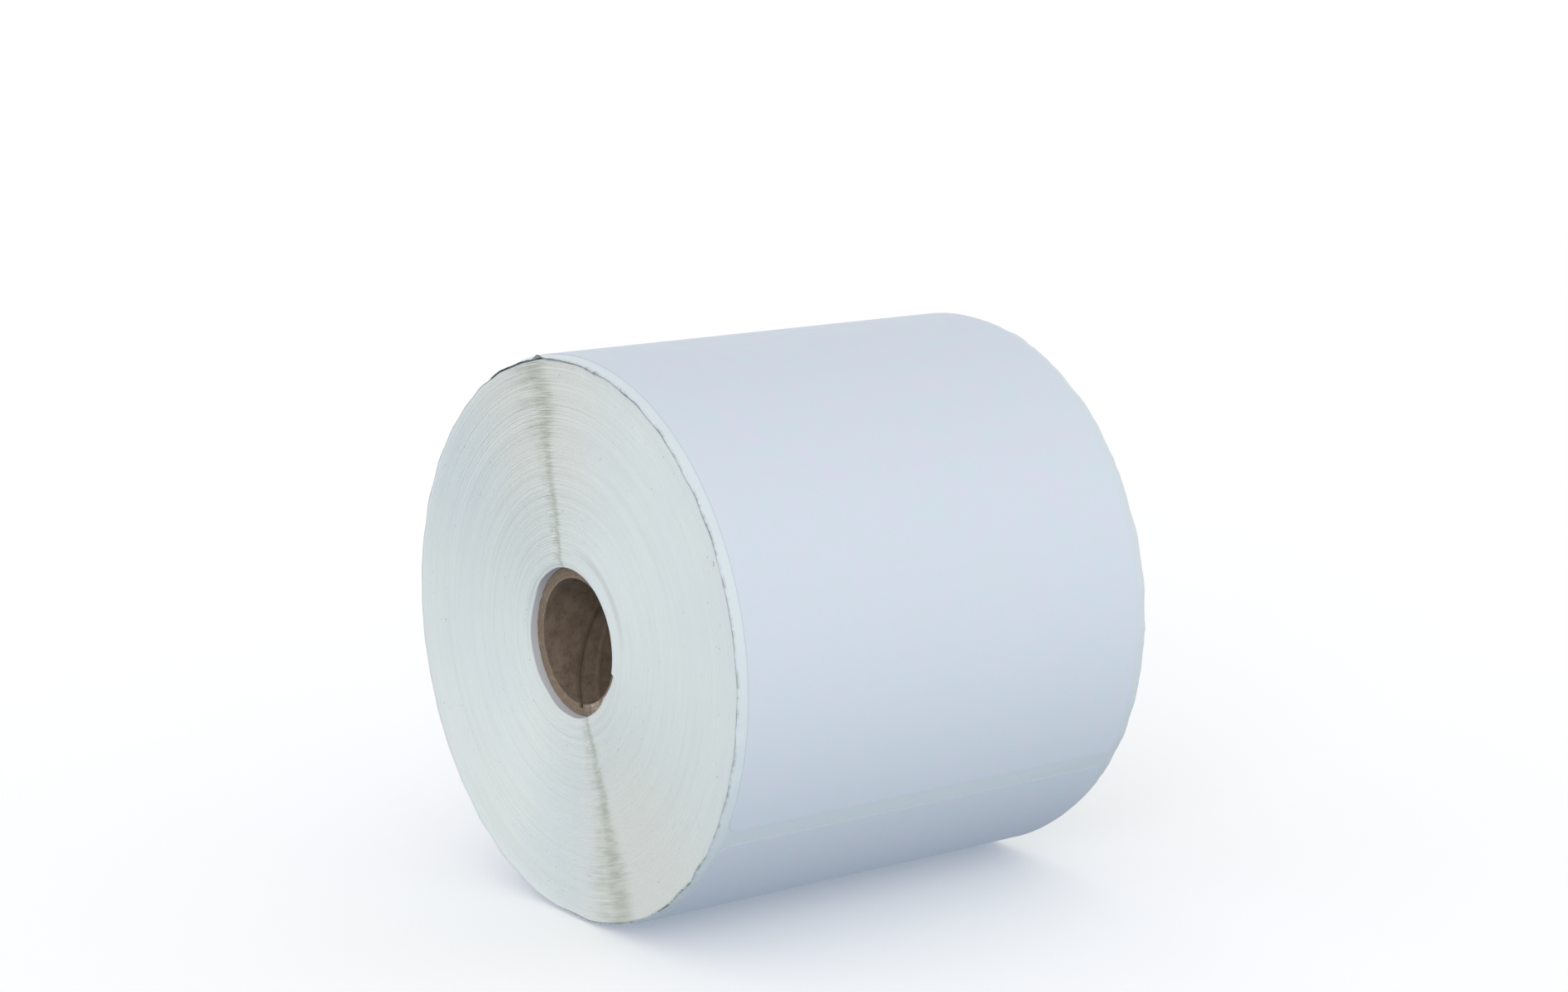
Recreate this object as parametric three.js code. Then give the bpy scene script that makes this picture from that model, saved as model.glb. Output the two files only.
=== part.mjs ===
// Roll of die-cut, self-adhesive labels on a release liner, wound on a recessed kraft core.
//
// Millimetres, +Z up. The roll's axis is Y and the origin is the middle of the roll.
// An angle "theta" is measured about the axis from +X towards +Z. The web is wound clockwise
// as seen from the -Y end, so "phi", the angle wound in from the free end, runs against theta.
// Every layer shares one set of facet lines, which keeps neighbouring layers parallel.

import * as THREE from "three";

// ---------------------------------------------------------------- driving dimensions

const LINER_WIDTH = 105;
const LINER_THICKNESS = 0.06;
const LABEL_WIDTH = 100;
const LABEL_LENGTH = 150;
const LABEL_THICKNESS = 0.1;
const LABEL_GAP = 4;
const LABEL_CORNER_RADIUS = 3;
const LINER_BEFORE_FIRST_LABEL = 2.5;

const OUTER_RADIUS = 58.5;
const FREE_END_THETA = 120;
const LAYER_CLEARANCE = 0.02;
const MODELLED_LABELS = 5;

const LOOSE_BULGE = 0.25; // how far the slack outer turn stands off the turn below it
const LOOSE_AT_FREE_END = 0.12;
const LOOSE_PEAK_PHI = 56;
const LOOSE_UNTIL_PHI = 208;

const CORE_BORE_RADIUS = 13;
const CORE_LENGTH = 100;
const CORE_PLIES = ["core_inner_ply", "core_middle_ply", "core_outer_ply"];
const PLY_THICKNESS = 0.74;
const PLY_CLEARANCE = 0.04;
const PLY_HELIX_PITCH = 46.15;
const PLY_SEAM_GAP = 0.4;
const PLY_FIRST_SEAM_THETA = 246;
const PLY_SEAM_STAGGER = 120;
const PLY_TIP_HEIGHT = 0.6; // the sharp tips of each ribbon are cut back to this height

const TAPE_THICKNESS = 0.06;
const TAPE_WIDTH = 50;
const TAPE_START_THETA = 32;
const TAPE_END_THETA = 72;
const TUNNEL_CLEARANCE = 0.07; // between the tape and the innermost turn

const LEADER_PIECES = 5;
const LEADER_PIECE_ANGLE = 8;
const FIRST_HINGE_PHI = 48;
const PEEL_HINGE_PHI = 10;
const HINGE_CLEARANCE_ANGLE = 0.03;

const WEB_FACET = 4;
const REST_FLAT_THETA = -90; // the side that the roll lies on
const REST_FLAT_ANGLE = 12; // a guess, wide enough for the roll to come to rest in simulation
const CORE_FACET = 10;
const CORNER_STEPS = 3;

// ---------------------------------------------------------------- derived dimensions

const LAMINATE = LINER_THICKNESS + LAYER_CLEARANCE + LABEL_THICKNESS;
const TURN_PITCH = LAMINATE + LAYER_CLEARANCE;
const PLY_PITCH = PLY_THICKNESS + PLY_CLEARANCE;
const CORE_OUTER_RADIUS = CORE_BORE_RADIUS + CORE_PLIES.length * PLY_PITCH - PLY_CLEARANCE;
const TAPE_INNER_RADIUS = CORE_OUTER_RADIUS + LAYER_CLEARANCE;
const TUNNEL_RADIUS = TAPE_INNER_RADIUS + TAPE_THICKNESS + TUNNEL_CLEARANCE;
const LINER_DEPTH = LABEL_THICKNESS + LAYER_CLEARANCE;

// ---------------------------------------------------------------- materials

function paper(color, roughness) {
  return new THREE.MeshStandardMaterial({ color, roughness, metalness: 0 });
}

const labelPaper = () => paper(0xd5dfea, 0.55);
const linerPaper = () => paper(0xdce8e6, 0.4);
const woundPaper = () => paper(0xd2dcd9, 0.8);
const kraftBoard = () => paper(0x8a7460, 0.9);
const tapeFilm = () => paper(0xd8d2b8, 0.3);

// ---------------------------------------------------------------- geometry helpers

const radians = THREE.MathUtils.degToRad;
const degrees = THREE.MathUtils.radToDeg;

// A closed solid wrapped about Y. Each station is one cross-section: its outer and inner
// points in the XZ plane, and the Y span it covers. Stations run with rising theta. A full
// ring joins its last station to its first; anything else gets a flat cap at each end.
function wrappedSolid(stations, fullRing = false) {
  const positions = [];
  for (const { outer, inner, low, high } of stations) {
    positions.push(outer.x, low, outer.y);
    positions.push(outer.x, high, outer.y);
    positions.push(inner.x, high, inner.y);
    positions.push(inner.x, low, inner.y);
  }
  const corners = 4;
  const indices = [];
  const spanCount = fullRing ? stations.length : stations.length - 1;
  for (let i = 0; i < spanCount; i++) {
    const here = i * corners;
    const next = ((i + 1) % stations.length) * corners;
    for (let side = 0; side < corners; side++) {
      const other = (side + 1) % corners;
      indices.push(here + side, here + other, next + side);
      indices.push(here + other, next + other, next + side);
    }
  }
  if (!fullRing) {
    const last = (stations.length - 1) * corners;
    indices.push(0, 2, 1, 0, 3, 2);
    indices.push(last, last + 1, last + 2, last, last + 2, last + 3);
  }
  const geometry = new THREE.BufferGeometry();
  geometry.setAttribute("position", new THREE.Float32BufferAttribute(positions, 3));
  geometry.setIndex(indices);
  geometry.computeVertexNormals();
  return geometry;
}

function namedMesh(name, geometry, material) {
  const mesh = new THREE.Mesh(geometry, material);
  mesh.name = name;
  return mesh;
}

// Every facet line between two angles, with both ends and any extra stations, in order.
function stationAngles(from, to, facet, extra = [], isLine = () => true) {
  const angles = [from, to, ...extra.filter((a) => a > from && a < to)];
  for (let a = Math.ceil(from / facet) * facet; a < to; a += facet) {
    if (isLine(a)) angles.push(a);
  }
  const sorted = angles.sort((a, b) => a - b);
  return sorted.filter((a, i) => i === 0 || a - sorted[i - 1] > 1e-3);
}

// The point at an angle on a regular polygon whose corners lie on a circle.
function polygonPoint(theta, radius, facet) {
  const offMiddle = theta - (Math.floor(theta / facet) + 0.5) * facet;
  const reach = (radius * Math.cos(radians(facet / 2))) / Math.cos(radians(offMiddle));
  return new THREE.Vector2(reach * Math.cos(radians(theta)), reach * Math.sin(radians(theta)));
}

// ---------------------------------------------------------------- the web's spiral

// The slack in the outer turn: it grows from the free end to its peak, then closes again.
function looseness(phi) {
  if (phi >= LOOSE_UNTIL_PHI) return 0;
  if (phi < LOOSE_PEAK_PHI) {
    return THREE.MathUtils.lerp(LOOSE_AT_FREE_END, LOOSE_BULGE, phi / LOOSE_PEAK_PHI);
  }
  const past = (phi - LOOSE_PEAK_PHI) / (LOOSE_UNTIL_PHI - LOOSE_PEAK_PHI);
  return LOOSE_BULGE * (0.5 + 0.5 * Math.cos(Math.PI * past));
}

function spiralRadius(phi) {
  return OUTER_RADIUS - (TURN_PITCH * phi) / 360 + looseness(phi);
}

// The web has a facet line at every whole facet, except within the flat it lies on.
function isWebLine(phi) {
  const fromFlat = FREE_END_THETA - phi - REST_FLAT_THETA;
  const nearest = fromFlat - 360 * Math.round(fromFlat / 360);
  return Math.abs(nearest) > REST_FLAT_ANGLE / 2 - 1e-3;
}

// A point on the web, a given depth under the outside of the labels. Between two facet
// lines it lies on the straight line that joins them.
function spiralPoint(phi, depth) {
  const onFacetLine = (angle) => {
    const theta = radians(FREE_END_THETA - angle);
    const radius = spiralRadius(angle) - depth;
    return new THREE.Vector2(radius * Math.cos(theta), radius * Math.sin(theta));
  };
  let before = Math.floor(phi / WEB_FACET + 1e-9) * WEB_FACET;
  let after = before + WEB_FACET;
  while (!isWebLine(before)) before -= WEB_FACET;
  while (!isWebLine(after)) after += WEB_FACET;
  const a = onFacetLine(before);
  const chord = onFacetLine(after).sub(a);
  const theta = radians(FREE_END_THETA - phi);
  const ray = new THREE.Vector2(Math.cos(theta), Math.sin(theta));
  return a.clone().addScaledVector(chord, -a.cross(ray) / chord.cross(ray));
}

// A strip of the web from one phi to another, between two depths.
function webStrip(fromPhi, toPhi, outerDepth, innerDepth, halfWidth, extraPhis = []) {
  const phis = stationAngles(fromPhi, toPhi, WEB_FACET, extraPhis, isWebLine);
  const stations = phis.map((phi) => ({
    outer: spiralPoint(phi, outerDepth),
    inner: spiralPoint(phi, innerDepth),
    low: -halfWidth(phi),
    high: halfWidth(phi),
  }));
  return wrappedSolid(stations.reverse());
}

function linerStrip(fromPhi, toPhi) {
  const halfWidth = () => LINER_WIDTH / 2;
  return webStrip(fromPhi, toPhi, LINER_DEPTH, LINER_DEPTH + LINER_THICKNESS, halfWidth);
}

// Where each label starts and ends, in phi. The free end is cut across a gap.
function labelSpans() {
  const spans = [];
  let phi = advance(0, LINER_BEFORE_FIRST_LABEL);
  for (let i = 0; i < MODELLED_LABELS; i++) {
    const end = advance(phi, LABEL_LENGTH);
    spans.push({ start: phi, end });
    phi = advance(end, LABEL_GAP);
  }
  return spans;
}

function advance(phi, length) {
  return phi + degrees(length / spiralRadius(phi));
}

// A label, or the part of it between two angles: a rectangle with four rounded corners.
function labelPiece(span, fromPhi = span.start, toPhi = span.end) {
  const r = LABEL_CORNER_RADIUS;
  const perDegree = radians(spiralRadius(span.start));
  const halfWidth = (phi) => {
    const fromEnd = Math.min(phi - span.start, span.end - phi) * perDegree;
    const short = Math.max(0, r - Math.max(0, fromEnd));
    return LABEL_WIDTH / 2 - r + Math.sqrt(r * r - short * short);
  };
  const cornerPhis = [];
  for (let step = 1; step <= CORNER_STEPS; step++) {
    const inset = (r * (1 - Math.cos((Math.PI / 2) * (step / CORNER_STEPS)))) / perDegree;
    cornerPhis.push(span.start + inset, span.end - inset);
  }
  return webStrip(fromPhi, toPhi, 0, LABEL_THICKNESS, halfWidth, cornerPhis);
}

// ---------------------------------------------------------------- the core

// One kraft ply: a ribbon wound in a helix so that its edges meet at a spiral seam,
// with the tube's two ends cut off square.
function plyGeometry(index) {
  const innerRadius = CORE_BORE_RADIUS + index * PLY_PITCH;
  const outerRadius = innerRadius + PLY_THICKNESS;
  const half = CORE_LENGTH / 2;
  const slope = 360 / PLY_HELIX_PITCH;
  const seamTheta = PLY_FIRST_SEAM_THETA + index * PLY_SEAM_STAGGER;
  const lowEdge = (theta) => (seamTheta - theta) / slope + PLY_SEAM_GAP / 2;
  const highEdge = (theta) => (seamTheta + 360 - theta) / slope - PLY_SEAM_GAP / 2;
  const thetaWhere = (edge, y) => seamTheta + (edge(seamTheta) - y) * slope;
  const tipTheta = PLY_TIP_HEIGHT * slope;
  const from = thetaWhere(lowEdge, half) + tipTheta;
  const to = thetaWhere(highEdge, -half) - tipTheta;
  const bends = [thetaWhere(lowEdge, -half), thetaWhere(highEdge, half)];
  const stations = stationAngles(from, to, CORE_FACET, bends).map((theta) => ({
    outer: polygonPoint(theta, outerRadius, CORE_FACET),
    inner: polygonPoint(theta, innerRadius, CORE_FACET),
    low: Math.max(-half, lowEdge(theta)),
    high: Math.min(half, highEdge(theta)),
  }));
  return wrappedSolid(stations);
}

// The strip of tape that holds the start of the web on the core.
function startTapeGeometry() {
  const angles = stationAngles(TAPE_START_THETA, TAPE_END_THETA, CORE_FACET);
  const stations = angles.map((theta) => ({
    outer: polygonPoint(theta, TAPE_INNER_RADIUS + TAPE_THICKNESS, CORE_FACET),
    inner: polygonPoint(theta, TAPE_INNER_RADIUS, CORE_FACET),
    low: -TAPE_WIDTH / 2,
    high: TAPE_WIDTH / 2,
  }));
  return wrappedSolid(stations);
}

function coreMeshes() {
  const plies = CORE_PLIES.map((name, i) => namedMesh(name, plyGeometry(i), kraftBoard()));
  return [...plies, namedMesh("core_start_tape", startTapeGeometry(), tapeFilm())];
}

// ---------------------------------------------------------------- the wound turns

// The tightly wound turns under the modelled outer ones, as one ring with square ends.
function woundWebGeometry(radius) {
  const angles = stationAngles(0, 360 - WEB_FACET, WEB_FACET);
  const lines = angles.filter((theta) => isWebLine(FREE_END_THETA - theta));
  const stations = lines.map((theta) => ({
    outer: polygonPoint(theta, radius, WEB_FACET),
    inner: polygonPoint(theta, TUNNEL_RADIUS, WEB_FACET),
    low: -LINER_WIDTH / 2,
    high: LINER_WIDTH / 2,
  }));
  return wrappedSolid(stations, true);
}

function rollMeshes(spans) {
  const meshes = [];
  const innerEndPhi = advance(spans.at(-1).end, LABEL_GAP / 2);
  const ringRadius = spiralRadius(innerEndPhi) - LAMINATE - LAYER_CLEARANCE;
  meshes.push(namedMesh("wound_web", woundWebGeometry(ringRadius), woundPaper()));
  const linerStart = FIRST_HINGE_PHI + HINGE_CLEARANCE_ANGLE;
  meshes.push(namedMesh("liner_outer_turns", linerStrip(linerStart, innerEndPhi), linerPaper()));
  meshes.push(namedMesh("label_1_on_roll", labelPiece(spans[0], linerStart), labelPaper()));
  spans.slice(1).forEach((span, i) => {
    meshes.push(namedMesh(`label_${i + 2}`, labelPiece(span), labelPaper()));
  });
  return meshes;
}

// ---------------------------------------------------------------- the leader

// The free length of the web, cut at its bend lines. Piece 1 is next to the roll and the
// last one reaches the free end; the first label lies on all of them.
function leaderMeshes(firstLabel) {
  const meshes = [];
  for (let piece = 1; piece <= LEADER_PIECES; piece++) {
    const far = FIRST_HINGE_PHI - (piece - 1) * LEADER_PIECE_ANGLE - HINGE_CLEARANCE_ANGLE;
    const isLast = piece === LEADER_PIECES;
    const near = isLast ? 0 : far - LEADER_PIECE_ANGLE + 2 * HINGE_CLEARANCE_ANGLE;
    const labelNear = isLast ? PEEL_HINGE_PHI + HINGE_CLEARANCE_ANGLE : near;
    const label = labelPiece(firstLabel, labelNear, far);
    meshes.push(namedMesh(`leader_liner_${piece}`, linerStrip(near, far), linerPaper()));
    meshes.push(namedMesh(`leader_label_${piece}`, label, labelPaper()));
  }
  const edge = labelPiece(firstLabel, firstLabel.start, PEEL_HINGE_PHI - HINGE_CLEARANCE_ANGLE);
  meshes.push(namedMesh("label_peel_edge", edge, labelPaper()));
  return meshes;
}

// ---------------------------------------------------------------- assembly

const spans = labelSpans();
const labelRoll = new THREE.Group();
labelRoll.add(...coreMeshes(), ...rollMeshes(spans), ...leaderMeshes(spans[0]));

export default labelRoll;
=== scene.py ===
"""Looks of a label roll: labels on a wound release liner, around a recessed kraft core.

The frame is metric, +Z up, with the roll's axis on Y and the origin in the roll's middle.
Shapes are worked out in millimetres. "theta" is an angle about the axis, in degrees from +X
towards +Z. "phi" is the angle wound in from the web's free end, so it runs against theta.
"""

import math

import bpy
import numpy as np
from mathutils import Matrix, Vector


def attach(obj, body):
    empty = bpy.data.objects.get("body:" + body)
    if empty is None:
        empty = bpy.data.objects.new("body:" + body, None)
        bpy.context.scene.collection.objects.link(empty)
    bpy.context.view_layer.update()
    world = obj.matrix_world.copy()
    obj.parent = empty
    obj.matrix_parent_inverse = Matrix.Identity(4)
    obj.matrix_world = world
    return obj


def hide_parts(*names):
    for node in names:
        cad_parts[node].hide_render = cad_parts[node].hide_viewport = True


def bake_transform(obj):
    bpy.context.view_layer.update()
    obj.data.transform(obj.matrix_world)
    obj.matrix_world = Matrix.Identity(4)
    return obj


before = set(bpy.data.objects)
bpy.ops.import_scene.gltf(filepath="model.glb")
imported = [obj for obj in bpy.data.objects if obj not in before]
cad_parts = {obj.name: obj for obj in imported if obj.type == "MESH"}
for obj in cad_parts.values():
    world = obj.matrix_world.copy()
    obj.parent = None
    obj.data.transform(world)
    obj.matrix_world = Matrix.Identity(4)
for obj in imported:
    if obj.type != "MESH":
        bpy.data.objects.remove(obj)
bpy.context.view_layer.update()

# ------------------------------------------------------------------ sizes, millimetres

MM = 0.001

LINER_HALF_WIDTH = 52.5
LINER_THICKNESS = 0.06
LABEL_HALF_WIDTH = 50.0
LABEL_LENGTH = 150.0
LABEL_THICKNESS = 0.10
LABEL_GAP = 4.0
LABEL_CORNER_RADIUS = 3.0
LINER_BEFORE_FIRST_LABEL = 2.5
LABEL_COUNT = 5

OUTER_RADIUS = 58.5
FREE_END_THETA = 120.0
LAYER_CLEARANCE = 0.02
TURN_PITCH = LINER_THICKNESS + LABEL_THICKNESS + 2 * LAYER_CLEARANCE
LINER_DEPTH = LABEL_THICKNESS + LAYER_CLEARANCE

# The outer turn is slack: how far it stands off the turn below, and where.
LOOSE_BULGE = 0.25
LOOSE_AT_FREE_END = 0.12
LOOSE_PEAK_PHI = 56.0
LOOSE_UNTIL_PHI = 208.0

# The bare margins beside the labels: how far they droop where they hang free, how closely
# they lie elsewhere, and the places across them that carry points.
MARGIN_DROOP = 0.19
MARGIN_CLEARANCE = 0.015
MARGIN_PLACES = (50.9, 51.8)
MARGIN_TIP_PLACE = 52.2

# Wear round the near end. The far end has the same, turned by FAR_END_TURN, but no kink.
SINK_THETA = 86.0
SINK_SPREAD = 24.0
SINK_DEPTH = 0.40
RIM_WAVE = 0.15
KINK_THETA = 99.6
KINK_SPREAD = 1.7
KINK_HEIGHT = 0.8
FAR_END_TURN = 140.0

REST_THETA = -90.0
REST_FLAT_ANGLE = 12.0
REST_RADIUS = 58.384

# Real plies touch, so these are a little thicker than the CAD's, and their seams narrower.
CORE_BORE_RADIUS = 13.0
CORE_HALF_LENGTH = 50.0
PLY_THICKNESS = 0.77
PLY_PITCH = 0.78
PLY_HELIX_PITCH = 46.15
PLY_SEAM_GAP = 0.12
PLY_FIRST_SEAM_THETA = 246.0
PLY_SEAM_STAGGER = 120.0
PLY_TIP_HEIGHT = 0.6
PLY_FRAY = 0.015
PLY_STEP = 3.0
CORE_OUTER_RADIUS = CORE_BORE_RADIUS + 2 * PLY_PITCH + PLY_THICKNESS
TAPE_THICKNESS = 0.06
TAPE_INNER_RADIUS = CORE_OUTER_RADIUS + LAYER_CLEARANCE
TAPE_START_THETA = 32.0
TAPE_END_THETA = 72.0
TAPE_HALF_WIDTH = 25.0
TUNNEL_CLEARANCE = 0.04
TUNNEL_RADIUS = TAPE_INNER_RADIUS + TAPE_THICKNESS + TUNNEL_CLEARANCE

LEADER_BODIES = ["roll", "leader_1", "leader_2", "leader_3", "leader_4", "leader_5"]
FIRST_HINGE_PHI = 48.0
LEADER_PIECE_ANGLE = 8.0
PEEL_HINGE_PHI = 10.0
PEEL_BEND_ANGLE = 4.0

STATION_STEP = 1.0

# ------------------------------------------------------------------ small helpers


def lerp(a, b, t):
    return a + (b - a) * t


def smoothstep(t):
    t = np.clip(t, 0.0, 1.0)
    return t * t * (3.0 - 2.0 * t)


def wrapped(degrees):
    """The same angle between -180 and 180 degrees."""
    return (np.asarray(degrees) + 180.0) % 360.0 - 180.0


def ripple(angle, seed, lowest, highest):
    """A smooth, repeatable wave round the roll, between about -1 and 1."""
    draw = np.random.default_rng(seed)
    total = np.zeros_like(np.asarray(angle, float))
    cycles = np.unique(np.linspace(lowest, highest, 9).astype(int))
    for count in cycles:
        phase = draw.uniform(0.0, 2.0 * math.pi)
        total = total + draw.uniform(0.5, 1.0) * np.sin(np.radians(angle) * count + phase)
    return total / math.sqrt(len(cycles))


def on_circle(theta, radius, y):
    """Points at these angles, radii and heights along the axis, as an array of x, y, z."""
    theta, radius, y = np.broadcast_arrays(np.radians(theta), radius, y)
    return np.stack([radius * np.cos(theta), y, radius * np.sin(theta)], axis=-1)


def loft(name, sections, closed=False):
    """A closed solid through cross-sections, each a loop of the same number of points."""
    count, around, _ = sections.shape
    i = np.arange(count if closed else count - 1)[:, None]
    j = np.arange(around)[None, :]
    next_i, next_j = (i + 1) % count, (j + 1) % around
    corners = [i * around + j, i * around + next_j, next_i * around + next_j, next_i * around + j]
    faces = np.stack(np.broadcast_arrays(*corners), axis=-1).reshape(-1, 4).tolist()
    if not closed:
        faces.append(list(range(around))[::-1])
        faces.append(list(range((count - 1) * around, count * around)))
    if signed_volume(sections, closed) < 0:
        faces = [face[::-1] for face in faces]
    mesh = bpy.data.meshes.new(name)
    mesh.from_pydata((sections.reshape(-1, 3) * MM).tolist(), [], faces)
    mesh.validate()
    mesh.polygons.foreach_set("use_smooth", [True] * len(mesh.polygons))
    mesh.set_sharp_from_angle(angle=math.radians(50.0))
    piece = bpy.data.objects.new(name, mesh)
    bpy.context.collection.objects.link(piece)
    return piece


def signed_volume(sections, closed):
    """Above zero where the loft's faces, in the order that loft makes them, face outwards."""
    here = sections if closed else sections[:-1]
    ahead = np.roll(sections, -1, axis=0) if closed else sections[1:]
    side, beyond = np.roll(here, -1, axis=1), np.roll(ahead, -1, axis=1)
    middle = sections.reshape(-1, 3).mean(axis=0)
    total = 0.0
    for a, b, c in ((here, side, beyond), (here, beyond, ahead)):
        total += np.einsum("ijk,ijk->", a - middle, np.cross(b - middle, c - middle))
    return total


def finish_piece(piece, material, nodes, body=None):
    """Gives a piece its material, hides the CAD nodes that it stands for, and attaches it to a body if
    one is named.
    """
    piece.data.materials.append(material)
    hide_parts(*nodes)
    if body:
        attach(piece, body)
    return piece


# ------------------------------------------------------------------ the web's spiral


def looseness(phi):
    """The slack in the outer turn: it grows from the free end, then closes again."""
    phi = np.asarray(phi, float)
    opening = lerp(LOOSE_AT_FREE_END, LOOSE_BULGE, phi / LOOSE_PEAK_PHI)
    past = (phi - LOOSE_PEAK_PHI) / (LOOSE_UNTIL_PHI - LOOSE_PEAK_PHI)
    closing = LOOSE_BULGE * (0.5 + 0.5 * np.cos(math.pi * np.clip(past, 0.0, 1.0)))
    return np.where(phi < LOOSE_PEAK_PHI, opening, closing)


def spiral_radius(phi):
    """The radius of the labels' outside, before the table and the margins' bends."""
    return OUTER_RADIUS - TURN_PITCH * np.asarray(phi, float) / 360.0 + looseness(phi)


def advance(phi, length):
    """The phi that lies this length of web further in."""
    return float(phi + np.degrees(length / spiral_radius(phi)))


def rest_dip(theta):
    """How far the flat under the roll, as in the CAD, lies inside the round."""
    off = wrapped(theta - REST_THETA)
    half = REST_FLAT_ANGLE / 2.0
    chord = np.cos(np.radians(half)) / np.cos(np.radians(np.clip(off, -half, half)))
    return np.where(np.abs(off) < half, REST_RADIUS * (1.0 - chord), 0.0)


def label_spans():
    """Where each label starts and ends, in phi."""
    spans = []
    phi = advance(0.0, LINER_BEFORE_FIRST_LABEL)
    for _ in range(LABEL_COUNT):
        end = advance(phi, LABEL_LENGTH)
        spans.append((phi, end))
        phi = advance(end, LABEL_GAP)
    return spans


def inner_end_phi():
    """Where the separately modelled turns stop, in the gap after the last label."""
    return advance(label_spans()[-1][1], LABEL_GAP / 2.0)


def wound_outer_radius():
    """The outside of the tightly wound turns, under the last label that is modelled."""
    return float(spiral_radius(inner_end_phi())) - TURN_PITCH


def margin_share(y):
    """0 as far as the labels' edge, rising from there to 1 at the web's edge."""
    past = (np.abs(y) - LABEL_HALF_WIDTH) / (LINER_HALF_WIDTH - LABEL_HALF_WIDTH)
    return np.clip(past, 0.0, 1.0) ** 1.8


def end_angle(theta, side):
    """The angle that wear goes by: the far end is worn like the near one, but turned."""
    return theta + np.where(side < 0, 0.0, FAR_END_TURN)


def rim_sink(theta, side):
    """How far handling has pushed the turns' edges in towards the core, all round an end."""
    theta = end_angle(theta, side)
    off = wrapped(theta - SINK_THETA) / SINK_SPREAD
    uneven = 0.12 - 0.27 * np.cos(np.radians(theta - 20.0))
    return uneven + SINK_DEPTH * np.exp(-off * off) + RIM_WAVE * ripple(theta, 15, 12, 48)


def edge_curl(phi, y):
    """How the bare margins bend, beyond the labels' edge.

    They lie down on the wound turns, except where the outer turn is slack and waves, and at
    one kink in the near edge.
    """
    theta = FREE_END_THETA - phi
    worn_at = end_angle(theta, y)
    height = spiral_radius(phi) - LINER_DEPTH - LINER_THICKNESS - wound_outer_radius()
    under = np.where(phi > 360.0, 0.0, LINER_THICKNESS + MARGIN_CLEARANCE)
    lying = height - under - MARGIN_CLEARANCE
    wave = ripple(worn_at, 11, 9, 34) + 0.6 * ripple(worn_at, 12, 50, 130)
    slack = MARGIN_DROOP * np.clip(0.85 + 1.2 * wave, -0.4, 1.7)
    is_slack = 0.6 * smoothstep(3.0 * looseness(phi) / LOOSE_BULGE)
    droop = lerp(lying, slack, is_slack) + rim_sink(theta, y)
    off = wrapped(theta - KINK_THETA) / KINK_SPREAD
    kink = np.where(y < 0, KINK_HEIGHT, 0.0) * np.exp(-off * off)
    return (kink - droop) * margin_share(y)


def web_sections(phis, columns, outer_depth, thickness):
    """Cross-sections of a strip of the web. columns has a row of Y places for each phi."""
    phi = phis[:, None]
    theta = FREE_END_THETA - phi
    outer = spiral_radius(phi) - outer_depth - rest_dip(theta) + edge_curl(phi, columns)
    top = on_circle(theta, outer, columns)
    bottom = on_circle(theta, outer - thickness, columns)
    return np.concatenate([top, bottom[:, ::-1]], axis=1)


def stations(start, end, extra=()):
    """The phis that a strip has cross-sections at, evenly apart, and any extra ones."""
    count = max(2, math.ceil((end - start) / STATION_STEP) + 1)
    phis = np.concatenate([np.linspace(start, end, count), extra])
    phis = np.unique(phis[(phis >= start) & (phis <= end)])
    return phis[np.concatenate([[True], np.diff(phis) > 1e-4])]


def liner_strip(name, start, end):
    """The liner from one phi to another, with closer points across its margins."""
    margin = [LABEL_HALF_WIDTH, *MARGIN_PLACES, MARGIN_TIP_PLACE, LINER_HALF_WIDTH]
    half = LABEL_HALF_WIDTH / 2.0
    places = np.array([-place for place in margin[::-1]] + [-half, 0.0, half] + margin)
    phis = stations(start, end)
    columns = np.tile(places, (len(phis), 1))
    return loft(name, web_sections(phis, columns, LINER_DEPTH, LINER_THICKNESS))


def label_strip(name, span, start=None, end=None):
    """A label, or the part of it between two angles: a rectangle with four rounded corners."""
    start = span[0] if start is None else start
    end = span[1] if end is None else end
    per_degree = math.radians(float(spiral_radius(span[0])))
    turn = np.radians(np.arange(0.0, 91.0, 9.0))
    insets = LABEL_CORNER_RADIUS * (1.0 - np.cos(turn)) / per_degree
    phis = stations(start, end, np.concatenate([span[0] + insets, span[1] - insets]))
    from_end = np.minimum(phis - span[0], span[1] - phis) * per_degree
    short = np.clip(LABEL_CORNER_RADIUS - from_end, 0.0, LABEL_CORNER_RADIUS)
    bulge = np.sqrt(LABEL_CORNER_RADIUS**2 - short**2)
    half = LABEL_HALF_WIDTH - LABEL_CORNER_RADIUS + bulge
    shares = np.array([-1.0, -0.99, -0.5, 0.0, 0.5, 0.99, 1.0])
    return loft(name, web_sections(phis, half[:, None] * shares, 0.0, LABEL_THICKNESS))


# ------------------------------------------------------------------ the wound turns

FACE_STEP_ANGLE = 2.4
STREAK_STEP_ANGLE = 0.8
STREAK_HALF_ANGLE = 8.0
NEAR_STREAKS = (100.5, -69.5)
FAR_STREAKS = (48.0, -128.0)

# The step that the web's inner end leaves in the tunnel's front edge, and the flat after it.
NOTCH_THETA = -12.5
NOTCH_DEPTH = 1.1
NOTCH_STEP_ANGLE = 0.4
NOTCH_END_THETA = -36.0
NOTCH_END_OVERHANG = 0.25

GROOVE_DEPTH = 0.08
CLOSEST_ANGLES = 0.2


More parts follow.
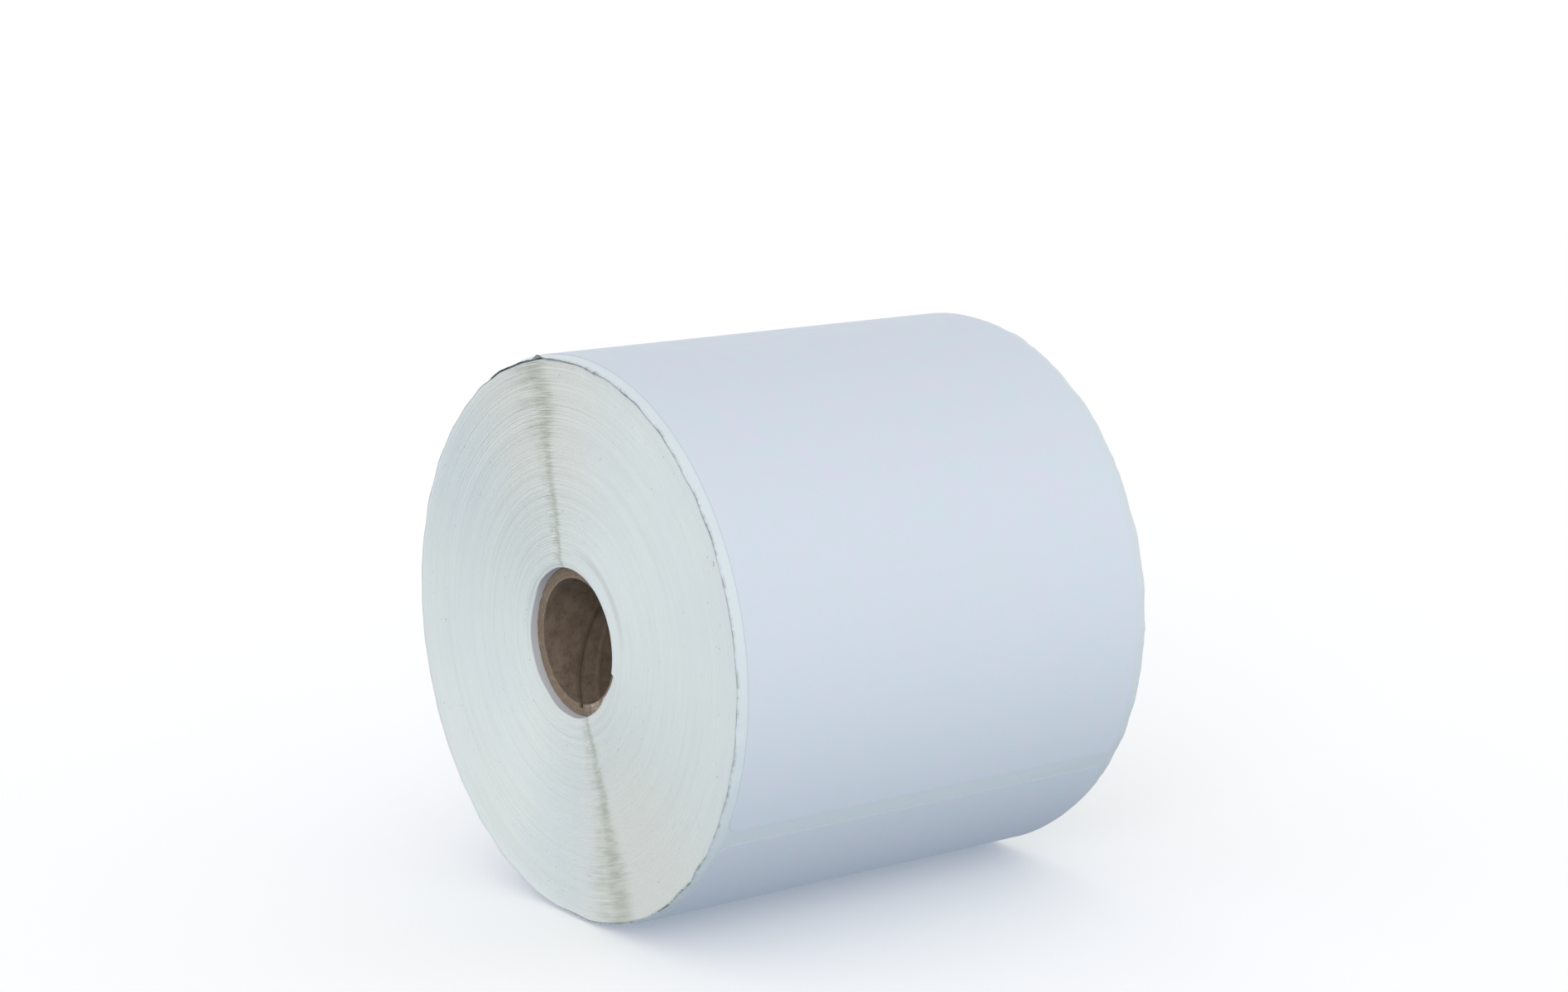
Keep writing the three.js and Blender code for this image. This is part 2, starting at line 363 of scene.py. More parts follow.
def face_angles(streaks):
    """Angles round an end face, closer together across its streaks."""
    angles = [np.arange(-180.0, 180.0 - 1e-6, FACE_STEP_ANGLE)]
    reach = STREAK_HALF_ANGLE
    for theta in streaks:
        angles.append(np.arange(theta - reach, theta + reach, STREAK_STEP_ANGLE))
    angles.append([NOTCH_THETA, NOTCH_THETA - NOTCH_STEP_ANGLE])
    angles = np.unique(wrapped(np.concatenate(angles)))
    return angles[np.concatenate([[True], np.diff(angles) > CLOSEST_ANGLES])]


def lip_radius(theta):
    """The tunnel's front edge: the web's inner end leaves a step and a straight flat there."""
    along = (NOTCH_THETA - wrapped(theta)) / (NOTCH_THETA - NOTCH_END_THETA)
    flat = lerp(NOTCH_DEPTH, -NOTCH_END_OVERHANG, along)
    past = np.clip(along - 1.0, 0.0, 1.0)
    beyond = lerp(-NOTCH_END_OVERHANG, 0.0, smoothstep(past * 2.5))
    step = np.where(along <= 1.0, flat, beyond)
    return TUNNEL_RADIUS + np.where(along > 0.0, step, 0.0)


def face_relief(theta, radius, turn, seed):
    """How far each turn's edge lies below the end plane, from winding and handling."""
    draw = np.random.default_rng(seed)
    turns = int(turn.max()) + 1
    steps = draw.uniform(0.0, 0.09, turns)
    drift = np.convolve(draw.normal(0.0, 1.0, turns + 24), np.hanning(25), "valid")
    drift = 0.05 * drift / np.std(drift)
    near_core = np.exp(-(radius - TUNNEL_RADIUS) / 6.0)
    rings = 0.10 * near_core * np.sin((radius - TUNNEL_RADIUS) * 3.1 + 0.3 * np.sin(np.radians(theta)))
    worn = lerp(0.25, 1.0, smoothstep(0.3 - 0.8 * np.cos(np.radians(theta - 12.0))))
    lip = worn * np.exp(-np.maximum(radius - TUNNEL_RADIUS, 0.0) / 0.65)
    lip = lip * (1.0 + 0.18 * ripple(theta, seed + 2, 3, 12))
    wave = 0.03 * ripple(theta, seed + 1, 2, 9) * smoothstep((radius - 20.0) / 30.0)
    return 0.16 + steps[turn] + drift[turn] + rings + lip + wave


def streak_crease(theta, radius, turn, streaks, seed):
    """Where a streak crosses the face, the turns' edges are bent over, turn by turn."""
    draw = np.random.default_rng(seed)
    shift = draw.normal(0.0, 0.35, int(turn.max()) + 1)
    total = np.zeros(np.broadcast(theta, radius).shape)
    for middle in streaks:
        reach = lerp(0.6, 3.0, (radius - TUNNEL_RADIUS) / 42.0)
        off = np.radians(wrapped(theta - middle)) * radius / reach - shift[turn]
        total += 0.14 * np.exp(-off * off)
    return total


def wound_half(name, side, streaks, seed):
    """Half of the tightly wound turns: an end face of many edges, and plain walls."""
    theta = face_angles(streaks)[:, None]
    outer = wound_outer_radius()
    turns = int((outer - TUNNEL_RADIUS) / TURN_PITCH)
    index = np.arange(2 * turns)
    turn = index // 2
    lip = lip_radius(theta)
    radius = TUNNEL_RADIUS + (outer - TUNNEL_RADIUS) * (index + 0.5) / (2 * turns)
    radius = radius + (lip - TUNNEL_RADIUS) * np.exp(-(radius - TUNNEL_RADIUS) / 1.0)
    below = face_relief(theta, radius, turn, seed)
    below = below + streak_crease(theta, radius, turn, streaks, seed + 5)
    below = np.maximum(below, 0.0) + np.where(index % 2, GROOVE_DEPTH, 0.0)
    way_out = (radius - TUNNEL_RADIUS) / (outer - TUNNEL_RADIUS)
    flush = smoothstep(-2.0 * np.cos(np.radians(theta - 10.0))) * way_out**40
    face_y = LINER_HALF_WIDTH - below * (1.0 - flush)
    pushed = rest_dip(theta) * way_out**3 + rim_sink(theta, side) * margin_share(face_y) * way_out**12
    face = on_circle(theta, radius - pushed, side * face_y)
    walls = [
        on_circle(theta, TUNNEL_RADIUS, 0.0),
        on_circle(theta, np.maximum(lip, TUNNEL_RADIUS), side * (CORE_HALF_LENGTH - 0.2)),
        on_circle(theta, lip, side * (CORE_HALF_LENGTH + 0.6)),
    ]
    back = []
    for y in (*MARGIN_PLACES[::-1], LABEL_HALF_WIDTH, 0.0):
        sunk = rest_dip(theta) + rim_sink(theta, side) * margin_share(y)
        back.append(on_circle(theta, outer - sunk, side * y))
    return loft(name, np.concatenate([*walls, face, *back], axis=1), closed=True)


# ------------------------------------------------------------------ the core


def torn_edge(theta, seed):
    """How far the core's cut end stands proud or short, with its fibres pulled."""
    fibres = 0.05 * ripple(theta, seed, 20, 60) + 0.03 * ripple(theta, seed + 1, 70, 119)
    return fibres - 0.05


def ply_ribbon(name, index):
    """One kraft ply: a ribbon wound in a helix, its ends cut off square."""
    inner = CORE_BORE_RADIUS + index * PLY_PITCH
    slope = 360.0 / PLY_HELIX_PITCH
    seam = PLY_FIRST_SEAM_THETA + index * PLY_SEAM_STAGGER
    half = CORE_HALF_LENGTH
    start = seam - (half - PLY_SEAM_GAP / 2.0 - PLY_TIP_HEIGHT) * slope
    end = seam + 360.0 + (half - PLY_SEAM_GAP / 2.0 - PLY_TIP_HEIGHT) * slope
    theta = np.linspace(start, end, math.ceil((end - start) / PLY_STEP) + 1)[:, None]
    low = np.maximum(-half, (seam - theta) / slope + PLY_SEAM_GAP / 2.0)
    high = np.minimum(half, (seam + 360.0 - theta) / slope - PLY_SEAM_GAP / 2.0)
    low_cut = np.where(low <= -half + 1e-9, 1.0, 0.0)
    high_cut = np.where(high >= half - 1e-9, 1.0, 0.0)
    low = low - low_cut * torn_edge(theta, 21 + index)
    high = high + high_cut * torn_edge(theta, 41 + index)
    shares = np.array([0.0, 0.01, 0.05, 0.5, 0.95, 0.99, 1.0])
    y = low + (high - low) * shares
    fray = PLY_FRAY * np.array([1.0, 0.4, 0.0, 0.0, 0.0, 0.4, 1.0])
    outside = on_circle(theta, inner + PLY_THICKNESS - fray, y)
    inside = on_circle(theta, inner + fray, y)
    return loft(name, np.concatenate([outside, inside[:, ::-1]], axis=1))


def start_tape(name):
    """The strip that holds the start of the web on the core."""
    theta = np.linspace(TAPE_START_THETA, TAPE_END_THETA, 28)[:, None]
    y = np.linspace(-TAPE_HALF_WIDTH, TAPE_HALF_WIDTH, 9)[None, :]
    outside = on_circle(theta, TAPE_INNER_RADIUS + TAPE_THICKNESS, y)
    inside = on_circle(theta, TAPE_INNER_RADIUS, y)
    return loft(name, np.concatenate([outside, inside[:, ::-1]], axis=1))


# ------------------------------------------------------------------ material helpers


class Nodes:
    """Short ways to add shader nodes to one material."""

    def __init__(self, name):
        self.material = bpy.data.materials.new(name)
        self.material.use_nodes = True
        self.tree = self.material.node_tree
        self.shader = self.tree.nodes["Principled BSDF"]

    def add(self, kind, **settings):
        node = self.tree.nodes.new(kind)
        for key, value in settings.items():
            setattr(node, key, value)
        return node

    def connect(self, source, socket):
        if isinstance(source, (int, float)):
            socket.default_value = source
        else:
            self.tree.links.new(source, socket)

    def math(self, operation, *values):
        node = self.add("ShaderNodeMath", operation=operation)
        for value, socket in zip(values, node.inputs):
            self.connect(value, socket)
        return node.outputs[0]

    def times(self, first, second):
        return self.math("MULTIPLY", first, second)

    def minus(self, first, second):
        return self.math("SUBTRACT", first, second)

    def place(self):
        return self.add("ShaderNodeTexCoord").outputs["Object"]

    def vector(self, x, y, z):
        node = self.add("ShaderNodeCombineXYZ")
        for value, socket in zip((x, y, z), node.inputs):
            self.connect(value, socket)
        return node.outputs[0]

    def noise(self, vector, scale, detail=3.0, roughness=0.55):
        node = self.add("ShaderNodeTexNoise")
        self.connect(vector, node.inputs["Vector"])
        node.inputs["Scale"].default_value = scale
        node.inputs["Detail"].default_value = detail
        node.inputs["Roughness"].default_value = roughness
        return node.outputs["Fac"]

    def remap(self, value, low, high, to_low=0.0, to_high=1.0, smooth=True):
        node = self.add("ShaderNodeMapRange")
        node.interpolation_type = "SMOOTHSTEP" if smooth else "LINEAR"
        for source, socket in zip((value, low, high, to_low, to_high), node.inputs):
            self.connect(source, socket)
        return node.outputs["Result"]

    def between(self, value, middle, half_width, softness):
        """1 within half_width of the middle, falling softly to 0 beyond it."""
        distance = self.math("ABSOLUTE", self.minus(value, middle))
        return self.remap(distance, half_width, half_width + softness, 1.0, 0.0)

    def mix(self, share, first, second):
        node = self.add("ShaderNodeMix", data_type="RGBA")
        self.connect(share, node.inputs["Factor"])
        for value, socket in ((first, node.inputs["A"]), (second, node.inputs["B"])):
            if isinstance(value, tuple):
                socket.default_value = (*value, 1.0)
            else:
                self.tree.links.new(value, socket)
        return node.outputs["Result"]

    def bump(self, height, distance_mm, strength=1.0, under=None):
        node = self.add("ShaderNodeBump")
        node.inputs["Strength"].default_value = strength
        node.inputs["Distance"].default_value = distance_mm * MM
        self.connect(height, node.inputs["Height"])
        if under is not None:
            self.connect(under, node.inputs["Normal"])
        return node.outputs["Normal"]

    def polar(self):
        """The radius in millimetres, the angle in degrees and Y in millimetres."""
        node = self.add("ShaderNodeSeparateXYZ")
        self.connect(self.place(), node.inputs[0])
        x, y, z = node.outputs
        square = self.math("ADD", self.times(x, x), self.times(z, z))
        radius = self.times(self.math("SQRT", square), 1.0 / MM)
        angle = self.math("DEGREES", self.math("ARCTAN2", z, x))
        return radius, angle, self.times(y, 1.0 / MM)

    def finish(self, color, roughness, normal, specular=0.35):
        self.connect(color, self.shader.inputs["Base Color"])
        self.connect(roughness, self.shader.inputs["Roughness"])
        self.connect(normal, self.shader.inputs["Normal"])
        self.shader.inputs["Specular IOR Level"].default_value = specular
        return self.material


# ------------------------------------------------------------------ materials

LABEL_COLOR = (0.600, 0.660, 0.728)
LABEL_LILAC = (0.615, 0.652, 0.733)
LABEL_CYAN = (0.588, 0.664, 0.724)
# The near margin's colour, painted lighter as a highlight.
LINER_LIT_COLOR = (0.640, 0.710, 0.730)
LINER_BLUISH = (0.604, 0.669, 0.692)
EDGE_COLOR = (0.650, 0.700, 0.685)
EDGE_BLUISH = (0.628, 0.682, 0.692)
EDGE_DULL = (0.600, 0.640, 0.620)
# A warmer tint round the face's streaks.
STREAK_HALO_COLOR = (0.668, 0.682, 0.648)
# Colour of the face's two streaks of painted shade.
STREAK_SHADE_COLOR = (0.335, 0.352, 0.275)
# Dark colour of the liner's near edge: painted gap shade and dirt.
GAP_SHADE_AND_GRIME_COLOR = (0.170, 0.185, 0.165)
SPECK_COLOR = (0.300, 0.230, 0.200)
NICK_COLOR = (0.330, 0.150, 0.110)
# Colour of a groove ring's painted shade.
ARC_SHADE_COLOR = (0.480, 0.500, 0.490)
# Colour of the tunnel wall's painted shade.
TUNNEL_SHADE_COLOR = (0.545, 0.545, 0.575)
KRAFT_LIGHT = (0.270, 0.205, 0.150)
KRAFT_MID = (0.235, 0.178, 0.134)
KRAFT_DARK = (0.150, 0.110, 0.080)
# Colour of the seam's painted shadow.
KRAFT_SEAM_SHADE = (0.075, 0.056, 0.042)
KRAFT_CUT = (0.198, 0.153, 0.110)
KRAFT_TORN = (0.420, 0.370, 0.310)
TAPE_FILM = (0.62, 0.55, 0.38)
TAPE_BUBBLE = (0.70, 0.65, 0.50)

# Where the near face's two streaks of painted shade run, how wide each stays, and which way it
# feathers.
TOP_STREAK = {"inner_theta": 99.3, "outer_theta": 101.4, "slim_end": 0.6, "lean": 1.5}
BOTTOM_STREAK = {"inner_theta": -68.0, "outer_theta": -71.5, "slim_end": 0.85, "lean": -1.5}
WIDE_END = 1.45


def label_material():
    """Bluish-white coated paper: faint lilac and cyan clouds, a fine grain, a soft gloss."""
    n = Nodes("label_paper")
    place = n.place()
    clouds = n.remap(n.noise(place, 190.0, 3.0), 0.32, 0.68)
    drifts = n.remap(n.noise(place, 26.0, 2.0), 0.35, 0.65)
    color = n.mix(clouds, LABEL_LILAC, LABEL_CYAN)
    color = n.mix(n.times(drifts, 0.4), color, LABEL_COLOR)
    roughness = n.remap(n.noise(place, 300.0), 0.3, 0.7, 0.50, 0.60)
    normal = n.bump(n.noise(place, 70.0, 3.0), 0.02, 0.4)
    normal = n.bump(n.noise(place, 2600.0, 2.0), 0.006, 0.6, under=normal)
    return n.finish(color, roughness, normal)


def liner_material():
    """Calendered release liner: greener and glossier than the labels, faintly streaky, with a painted
    highlight on the near margin and a dark near edge that is partly painted shade and partly dirt.
    """
    n = Nodes("release_liner")
    place = n.place()
    stretched = n.add("ShaderNodeMapping")
    stretched.inputs["Scale"].default_value = (1.0, 0.25, 1.0)
    n.connect(place, stretched.inputs["Vector"])
    streaks = n.noise(stretched.outputs[0], 260.0, 3.0)
    radius, angle, y = n.polar()
    # Painted highlight: the near margin is painted lighter than the rest of the liner, as it faces the
    # light.
    painted_lit_margin = n.remap(y, -50.5, -49.5, 1.0, 0.0)
    color = n.mix(painted_lit_margin, LINER_BLUISH, LINER_LIT_COLOR)
    color = n.mix(n.remap(streaks, 0.35, 0.65, 0.0, 0.25), color, LABEL_COLOR)
    # Partly painted shade and partly dirt: a dark line along the liner's near edge, where the slack
    # outer turn leaves a gap.
    at_edge = n.times(n.remap(y, -51.8, -52.4), n.between(angle, 0.0, 76.0, 25.0))
    fainter = n.times(n.between(angle, 22.0, 34.0, 35.0), 0.5)
    at_edge = n.times(at_edge, n.minus(1.0, fainter))
    patches = n.remap(n.noise(place, 130.0, 2.0), 0.36, 0.60, 0.25, 1.0)
    ragged = n.remap(n.noise(place, 900.0, 3.0), 0.38, 0.62, 0.10, 0.9)
    gap_shade_and_grime = n.times(n.times(ragged, patches), at_edge)
    color = n.mix(gap_shade_and_grime, color, GAP_SHADE_AND_GRIME_COLOR)
    roughness = n.remap(n.noise(place, 500.0), 0.3, 0.7, 0.34, 0.46)
    normal = n.bump(n.noise(place, 1500.0, 2.0), 0.006, 0.6)
    return n.finish(color, roughness, normal, specular=0.45)


def face_streak(n, radius, angle, strokes, inner_theta, outer_theta, slim_end, lean):
    """How dark a radial streak of painted shade is: a soft heart, and a feather of strokes.

    It runs from inner_theta by the core to outer_theta by the rim. It stays slim as far as
    slim_end, in millimetres, and the feather leans that many widths to one side.
    """
    middle = n.remap(radius, 15.0, 57.5, inner_theta, outer_theta, smooth=False)
    off = n.times(n.math("RADIANS", n.minus(angle, middle)), radius)
    slim = n.remap(radius, 15.0, 42.0, 0.28, slim_end, smooth=False)
    spread = n.math("ADD", slim, n.remap(radius, 38.0, 50.0, 0.0, WIDE_END - slim_end))
    slow = n.noise(n.vector(n.times(radius, 0.17), inner_theta, 0.0), 1.0, 1.0)
    quick = n.noise(n.vector(n.times(radius, 0.8), inner_theta, 3.0), 1.0, 1.0)
    sway = n.math("ADD", n.times(n.minus(slow, 0.5), 4.0), n.times(n.minus(quick, 0.5), 3.0))
    off = n.math("ADD", off, n.times(sway, spread))
    share = n.math("DIVIDE", off, spread)
    to_heart = n.math("ABSOLUTE", share)
    to_feather = n.math("ABSOLUTE", n.minus(share, lean))
    stroked = n.remap(strokes, 0.0, 1.0, 0.5, 1.0)
    heart = n.times(n.remap(to_heart, 0.3, 4.4, 1.0, 0.0), stroked)
    feather = n.times(n.remap(to_feather, 1.5, 7.0, 1.0, 0.0), n.times(strokes, 0.65))
    return n.math("MAXIMUM", heart, feather)


def wound_edge_material():
    """The slit edges of many turns: fine rings, soft bands and specks, with painted shade in two
    radial streaks, a groove arc and the tunnel wall.
    """
    n = Nodes("wound_paper_edges")
    radius, angle, y = n.polar()
    around = n.math("RADIANS", angle)
    turned_x = n.math("COSINE", around)
    turned_z = n.math("SINE", around)
    fine = n.noise(n.vector(n.times(radius, 5.0), turned_x, turned_z), 1.0, 2.0)
    lines = n.noise(n.vector(n.times(radius, 1.7), turned_x, turned_z), 1.0, 3.0, 0.7)
    bands = n.noise(n.vector(n.times(radius, 0.55), turned_x, turned_z), 1.0, 3.0)
    clouds = n.noise(n.place(), 30.0, 3.0)
    color = n.mix(n.remap(clouds, 0.35, 0.65), EDGE_COLOR, EDGE_BLUISH)
    color = n.mix(n.remap(bands, 0.45, 0.75, 0.0, 0.4), color, EDGE_DULL)
    color = n.mix(n.remap(fine, 0.45, 0.80, 0.0, 0.3), color, EDGE_DULL)
    color = n.mix(n.remap(lines, 0.50, 0.75, 0.0, 0.45), color, EDGE_DULL)
    # Painted shade: a dark arc at radius 19.6 mm, upper right, where a groove ring runs.
    arc = n.times(n.between(radius, 19.6, 0.2, 0.9), n.between(angle, 45.0, 12.0, 38.0))
    color = n.mix(n.times(arc, 0.55), color, ARC_SHADE_COLOR)

    stroke_place = n.vector(n.times(radius, 1.2), n.times(angle, 0.09), y)
    strokes = n.remap(n.noise(stroke_place, 1.0, 2.0, 0.6), 0.30, 0.70)
    near = n.remap(y, -40.0, 40.0, 1.0, 0.0)
    # A warmer, slightly darker tint round both streaks, on the near end.
    halo = n.math("ADD", n.between(angle, 102.0, 12.0, 30.0), n.between(angle, -60.0, 10.0, 28.0))
    halo = n.times(n.times(halo, near), n.remap(radius, 20.0, 40.0, 0.2, 0.8))
    color = n.mix(halo, color, STREAK_HALO_COLOR)
    # Painted shade: two dark feathered radial streaks, at top and bottom of the near face.
    top = face_streak(n, radius, angle, strokes, **TOP_STREAK)
    bottom = face_streak(n, radius, angle, strokes, **BOTTOM_STREAK)
    streak = n.times(n.math("MAXIMUM", top, bottom), near)
    color = n.mix(n.times(streak, 0.56), color, STREAK_SHADE_COLOR)

    specks = n.remap(n.noise(n.place(), 2100.0, 0.0), 0.83, 0.88, 0.0, 0.6)
    color = n.mix(specks, color, SPECK_COLOR)
    nick = n.times(n.between(radius, 56.35, 0.05, 0.2), n.between(angle, 26.6, 0.2, 0.4))
    color = n.mix(n.times(nick, 0.6), color, NICK_COLOR)
    # Painted shade: the recessed tunnel wall is painted a darker lavender grey.
    color = n.mix(n.remap(radius, 15.46, 15.8, 0.9, 0.0), color, TUNNEL_SHADE_COLOR)
    normal = n.bump(fine, 0.06, 0.5)
    return n.finish(color, 0.85, normal, specular=0.2)


def kraft_material():
    """Unbleached kraft board: short fibres, mottling, a lighter band beside the spiral seam, and
    painted shadow along the seam.
    """
    n = Nodes("kraft_board")
    place = n.place()
    radius, angle, y = n.polar()
    turned = n.times(angle, PLY_HELIX_PITCH / 360.0)
    helix = n.math("ADD", y, turned)
    along = n.minus(turned, y)
    fibre_place = n.vector(n.times(helix, 2.2), n.times(along, 0.5), radius)
    fibres = n.noise(fibre_place, 1.0, 4.0, 0.7)
    mottle = n.noise(place, 330.0, 5.0, 0.7)
    color = n.mix(n.remap(mottle, 0.35, 0.65), KRAFT_DARK, KRAFT_MID)
    color = n.mix(n.remap(fibres, 0.40, 0.72, 0.0, 0.6), color, KRAFT_LIGHT)
    seam_at = PLY_FIRST_SEAM_THETA * PLY_HELIX_PITCH / 360.0
    half_pitch = PLY_HELIX_PITCH / 2.0
    past_seam = n.math("WRAP", n.minus(helix, seam_at), half_pitch, -half_pitch)
    ridge = n.between(past_seam, 4.3, 0.1, 0.9)
    seam = n.between(past_seam, -0.2, 0.15, 1.1)
    color = n.mix(n.times(ridge, 0.5), color, KRAFT_LIGHT)
    # Painted shadow: a dark line along the spiral seam, where the plies' butt gap is.
    color = n.mix(n.times(seam, 0.40), color, KRAFT_SEAM_SHADE)
    cut_end = n.remap(n.math("ABSOLUTE", y), 49.4, 49.9, 0.0, 0.75)
    color = n.mix(cut_end, color, KRAFT_CUT)
    torn = n.times(n.between(angle, -68.0, 4.0, 12.0), n.remap(mottle, 0.4, 0.6))
    torn = n.math("MAXIMUM", torn, n.remap(fibres, 0.50, 0.70, 0.0, 0.35))
    color = n.mix(n.times(torn, cut_end), color, KRAFT_TORN)
    normal = n.bump(n.noise(place, 1300.0, 3.0), 0.05, 0.7)
    normal = n.bump(ridge, 0.12, 0.8, under=normal)
    roughness = n.remap(mottle, 0.3, 0.7, 0.78, 0.92)
    return n.finish(color, roughness, normal, specular=0.2)


def tape_material():
    """Clear yellowish tape, glossy, with air caught under it."""
    n = Nodes("start_tape")
    place = n.place()
    bubbles = n.remap(n.noise(place, 400.0, 3.0), 0.4, 0.7)
    color = n.mix(bubbles, TAPE_FILM, TAPE_BUBBLE)
    normal = n.bump(n.noise(place, 250.0, 2.0), 0.02, 0.6)
    return n.finish(color, n.remap(bubbles, 0.0, 1.0, 0.18, 0.32), normal, specular=0.5)


# ------------------------------------------------------------------ assembly


def build_wound_turns(material):
    near = wound_half("wound_turns_near_half", -1.0, NEAR_STREAKS, 3)
    far = wound_half("wound_turns_far_half", 1.0, FAR_STREAKS, 5)
    for half in (near, far):
        finish_piece(half, material, ["wound_web"], "roll")


def build_core(kraft, tape):
    for index, ply in enumerate(("inner", "middle", "outer")):
        ribbon = ply_ribbon(f"core_{ply}_ribbon", index)
        finish_piece(ribbon, kraft, [f"core_{ply}_ply"], "roll")
    finish_piece(start_tape("core_tape_strip"), tape, ["core_start_tape"], "roll")


def build_outer_turns(spans, liner, label):
    """The part of the outer turns that never leaves the roll."""
    start = FIRST_HINGE_PHI + LEADER_PIECE_ANGLE / 2.0
    turns = liner_strip("liner_on_roll", start, inner_end_phi())
    finish_piece(turns, liner, ["liner_outer_turns"], "roll")
    first = label_strip("label_1_wound_part", spans[0], start=start)
    finish_piece(first, label, ["label_1_on_roll"], "roll")
    for number, span in enumerate(spans[1:], 2):
        piece = label_strip(f"label_{number}_sheet", span)
        finish_piece(piece, label, [f"label_{number}"], "roll")


def web_point(phi):
    """A point on the outside of the labels at this phi, in metres."""
    x, y, z = on_circle(FREE_END_THETA - phi, float(spiral_radius(phi)), 0.0) * MM
    return (float(x), float(y), float(z))


def build_leader(first_label, liner, label):
    """The free end: strips over the hinges between the leader's bodies, attached to no body, then the
    end and its label.
    """
    half = LEADER_PIECE_ANGLE / 2.0
    for number in range(1, len(LEADER_BODIES)):
        hinge = FIRST_HINGE_PHI - (number - 1) * LEADER_PIECE_ANGLE
        zone = (hinge - half, hinge + half)
        backing = liner_strip(f"leader_liner_bend_{number}", *zone)
        finish_piece(backing, liner, [f"leader_liner_{number}"])
        facing = label_strip(f"leader_label_bend_{number}", first_label, *zone)
        finish_piece(facing, label, [f"leader_label_{number}"])
        for piece in (backing, facing):
            web_point(zone[1])
            web_point(zone[0])
            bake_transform(piece)
    last_bend_end = FIRST_HINGE_PHI - (len(LEADER_BODIES) - 2) * LEADER_PIECE_ANGLE - half
    tip = liner_strip("leader_liner_tip", 0.0, last_bend_end)
    finish_piece(tip, liner, ["leader_liner_5"], "leader_5")
    peel_from = PEEL_HINGE_PHI + PEEL_BEND_ANGLE / 2.0
    peel_to = PEEL_HINGE_PHI - PEEL_BEND_ANGLE / 2.0
    bend = label_strip("label_peel_bend", first_label, peel_to, peel_from)
    finish_piece(bend, label, ["leader_label_5", "label_peel_edge"])
    web_point(peel_from)
    web_point(peel_to)
    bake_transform(bend)
    edge = label_strip("label_peel_tip", first_label, end=peel_to)
    finish_piece(edge, label, ["label_peel_edge"], "label_edge")


def build_roll():
    spans = label_spans()
    label = label_material()
    liner = liner_material()
    build_wound_turns(wound_edge_material())
    build_core(kraft_material(), tape_material())
    build_outer_turns(spans, liner, label)
    build_leader(spans[0], liner, label)


# ------------------------------------------------------------------ camera, light and floor

CAMERA_AZIMUTH = 53.27
CAMERA_ELEVATION = 12.96
CAMERA_DISTANCE = 0.6977
CAMERA_LENS = 75.5
FRAME_SHIFT_RIGHT = 0.0055
FRAME_SHIFT_UP = 0.0718

ROOM_STRENGTH = 1.25
ROOM_BELOW = (0.04, 0.10, 0.19)
ROOM_WALLS = (1.0, 1.0, 1.0)
ROOM_ABOVE = (0.56, 0.57, 0.59)
KEY_AZIMUTH = 43.0
KEY_ELEVATION = 21.0
KEY_SPREAD = 40.0
KEY_STRENGTH = 0.69

FLOOR_COLOR = (1.0, 1.0, 1.0)
FLOOR_GLOW = 0.05
FLOOR_HALF_SIZE = 6.0
FLOOR_CLEARANCE = 0.00002


def toward(azimuth, elevation):
    """The direction from the roll to a viewer or a light. Azimuth 0 is straight off the near end."""
    a, e = math.radians(azimuth), math.radians(elevation)
    return Vector((math.sin(a) * math.cos(e), -math.cos(a) * math.cos(e), math.sin(e)))


def add_camera():
    """The camera looks at the roll's middle, and its shift sets the roll in the frame."""
    data = bpy.data.cameras.new("camera")
    data.lens = CAMERA_LENS
    data.sensor_width = 36.0
    data.clip_end = 50.0
    data.shift_x = FRAME_SHIFT_RIGHT
    data.shift_y = FRAME_SHIFT_UP
    camera = bpy.data.objects.new("camera", data)
    bpy.context.collection.objects.link(camera)
    back = toward(CAMERA_AZIMUTH, CAMERA_ELEVATION)
    camera.location = back * CAMERA_DISTANCE
    camera.rotation_euler = back.to_track_quat("Z", "Y").to_euler()
    bpy.context.scene.camera = camera


def add_key_light():
    """One large, soft and distant light."""
    data = bpy.data.lights.new("key", "SUN")
    data.angle = math.radians(KEY_SPREAD)
    data.energy = KEY_STRENGTH
    light = bpy.data.objects.new("key", data)
    bpy.context.collection.objects.link(light)
    direction = toward(KEY_AZIMUTH, KEY_ELEVATION)
    light.location = direction
    light.rotation_euler = direction.to_track_quat("Z", "Y").to_euler()


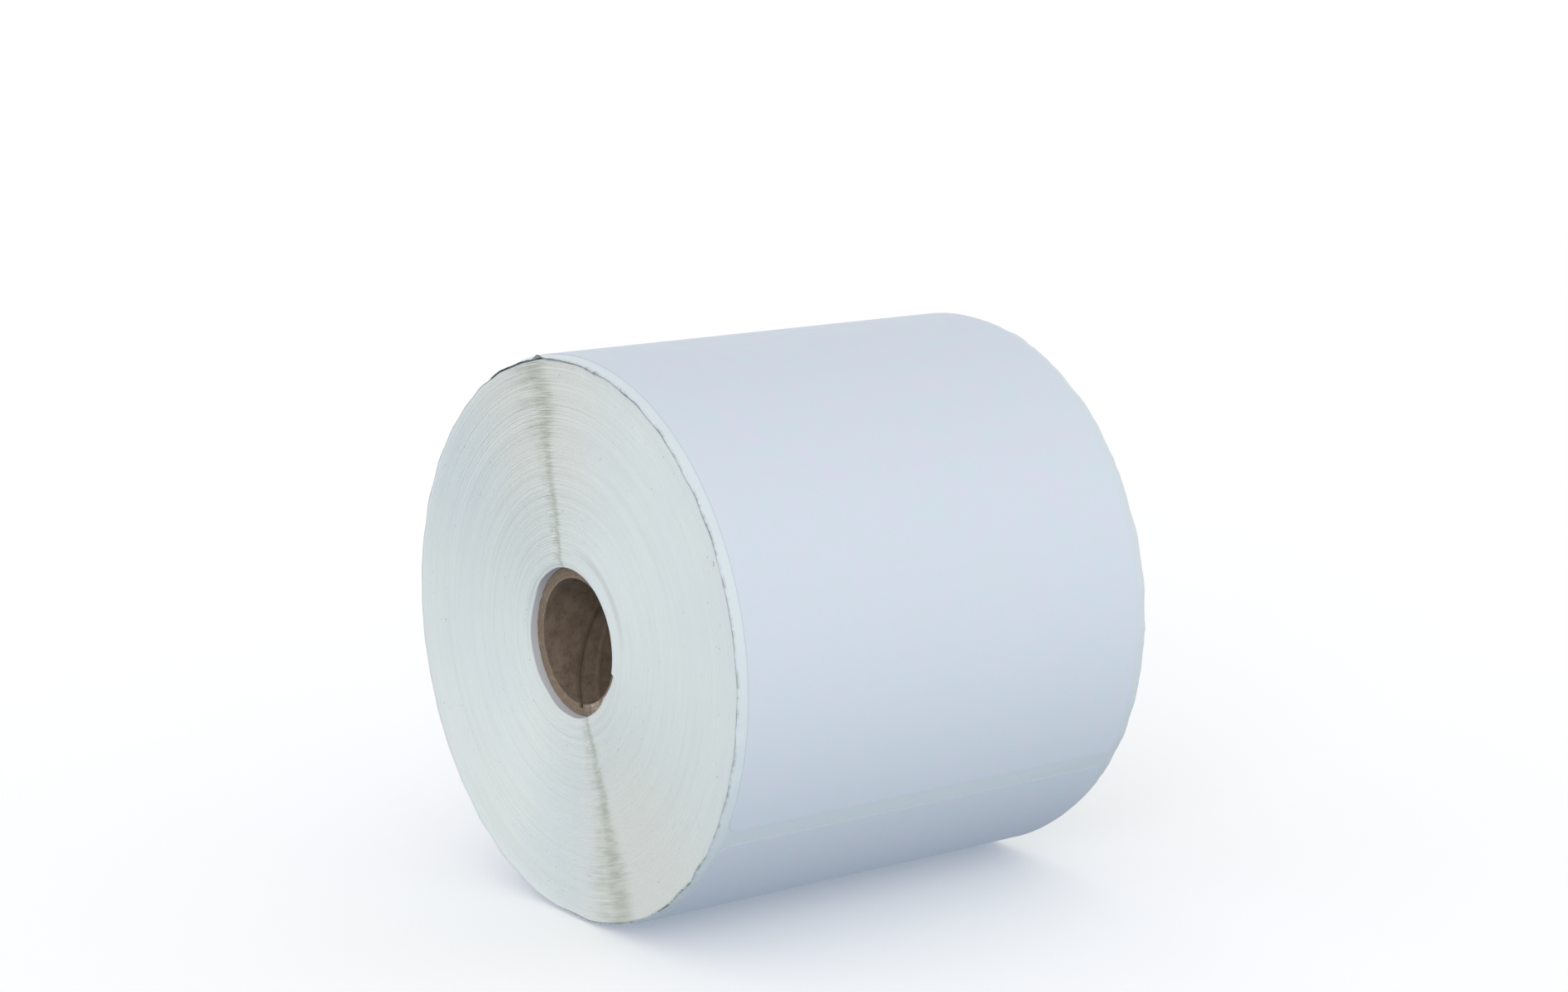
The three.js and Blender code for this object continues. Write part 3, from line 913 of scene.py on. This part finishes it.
def add_world():
    """A room that is brightest along its walls, dimmer overhead and dark underfoot."""
    world = bpy.data.worlds.new("studio")
    world.use_nodes = True
    tree = world.node_tree
    direction = tree.nodes.new("ShaderNodeTexCoord")
    split = tree.nodes.new("ShaderNodeSeparateXYZ")
    height = tree.nodes.new("ShaderNodeMapRange")
    height.inputs["From Min"].default_value = -1.0
    ramp = tree.nodes.new("ShaderNodeValToRGB")
    stops = [(0.0, ROOM_BELOW), (0.5, ROOM_WALLS), (1.0, ROOM_ABOVE)]
    ramp.color_ramp.elements.new(0.5)
    for element, (position, color) in zip(ramp.color_ramp.elements, stops):
        element.position = position
        element.color = (*color, 1.0)
    tree.links.new(direction.outputs["Generated"], split.inputs[0])
    tree.links.new(split.outputs["Z"], height.inputs["Value"])
    tree.links.new(height.outputs["Result"], ramp.inputs["Fac"])
    background = tree.nodes["Background"]
    tree.links.new(ramp.outputs["Color"], background.inputs["Color"])
    background.inputs["Strength"].default_value = ROOM_STRENGTH
    bpy.context.scene.world = world


def add_floor():
    """A plain, nearly white sheet, just under the roll."""
    mesh = bpy.data.meshes.new("floor")
    reach = FLOOR_HALF_SIZE
    rest_height = REST_RADIUS * math.cos(math.radians(REST_FLAT_ANGLE / 2.0)) * MM
    z = -rest_height - FLOOR_CLEARANCE
    corners = [(-reach, -reach, z), (reach, -reach, z), (reach, reach, z), (-reach, reach, z)]
    mesh.from_pydata(corners, [], [(0, 1, 2, 3)])
    floor = bpy.data.objects.new("floor", mesh)
    bpy.context.collection.objects.link(floor)
    n = Nodes("studio_floor")
    clouds = n.noise(n.place(), 3.0, 2.0)
    color = n.mix(clouds, FLOOR_COLOR, tuple(0.99 * c for c in FLOOR_COLOR))
    n.finish(color, 0.8, n.bump(clouds, 0.1, 0.1), specular=0.1)
    n.connect(color, n.shader.inputs["Emission Color"])
    n.shader.inputs["Emission Strength"].default_value = FLOOR_GLOW
    mesh.materials.append(n.material)
    floor.visible_diffuse = False
    floor.visible_glossy = False


def light_studio():
    add_world()
    add_key_light()
    bpy.context.scene.view_settings.view_transform = "Standard"


add_camera()
build_roll()
add_floor()
light_studio()
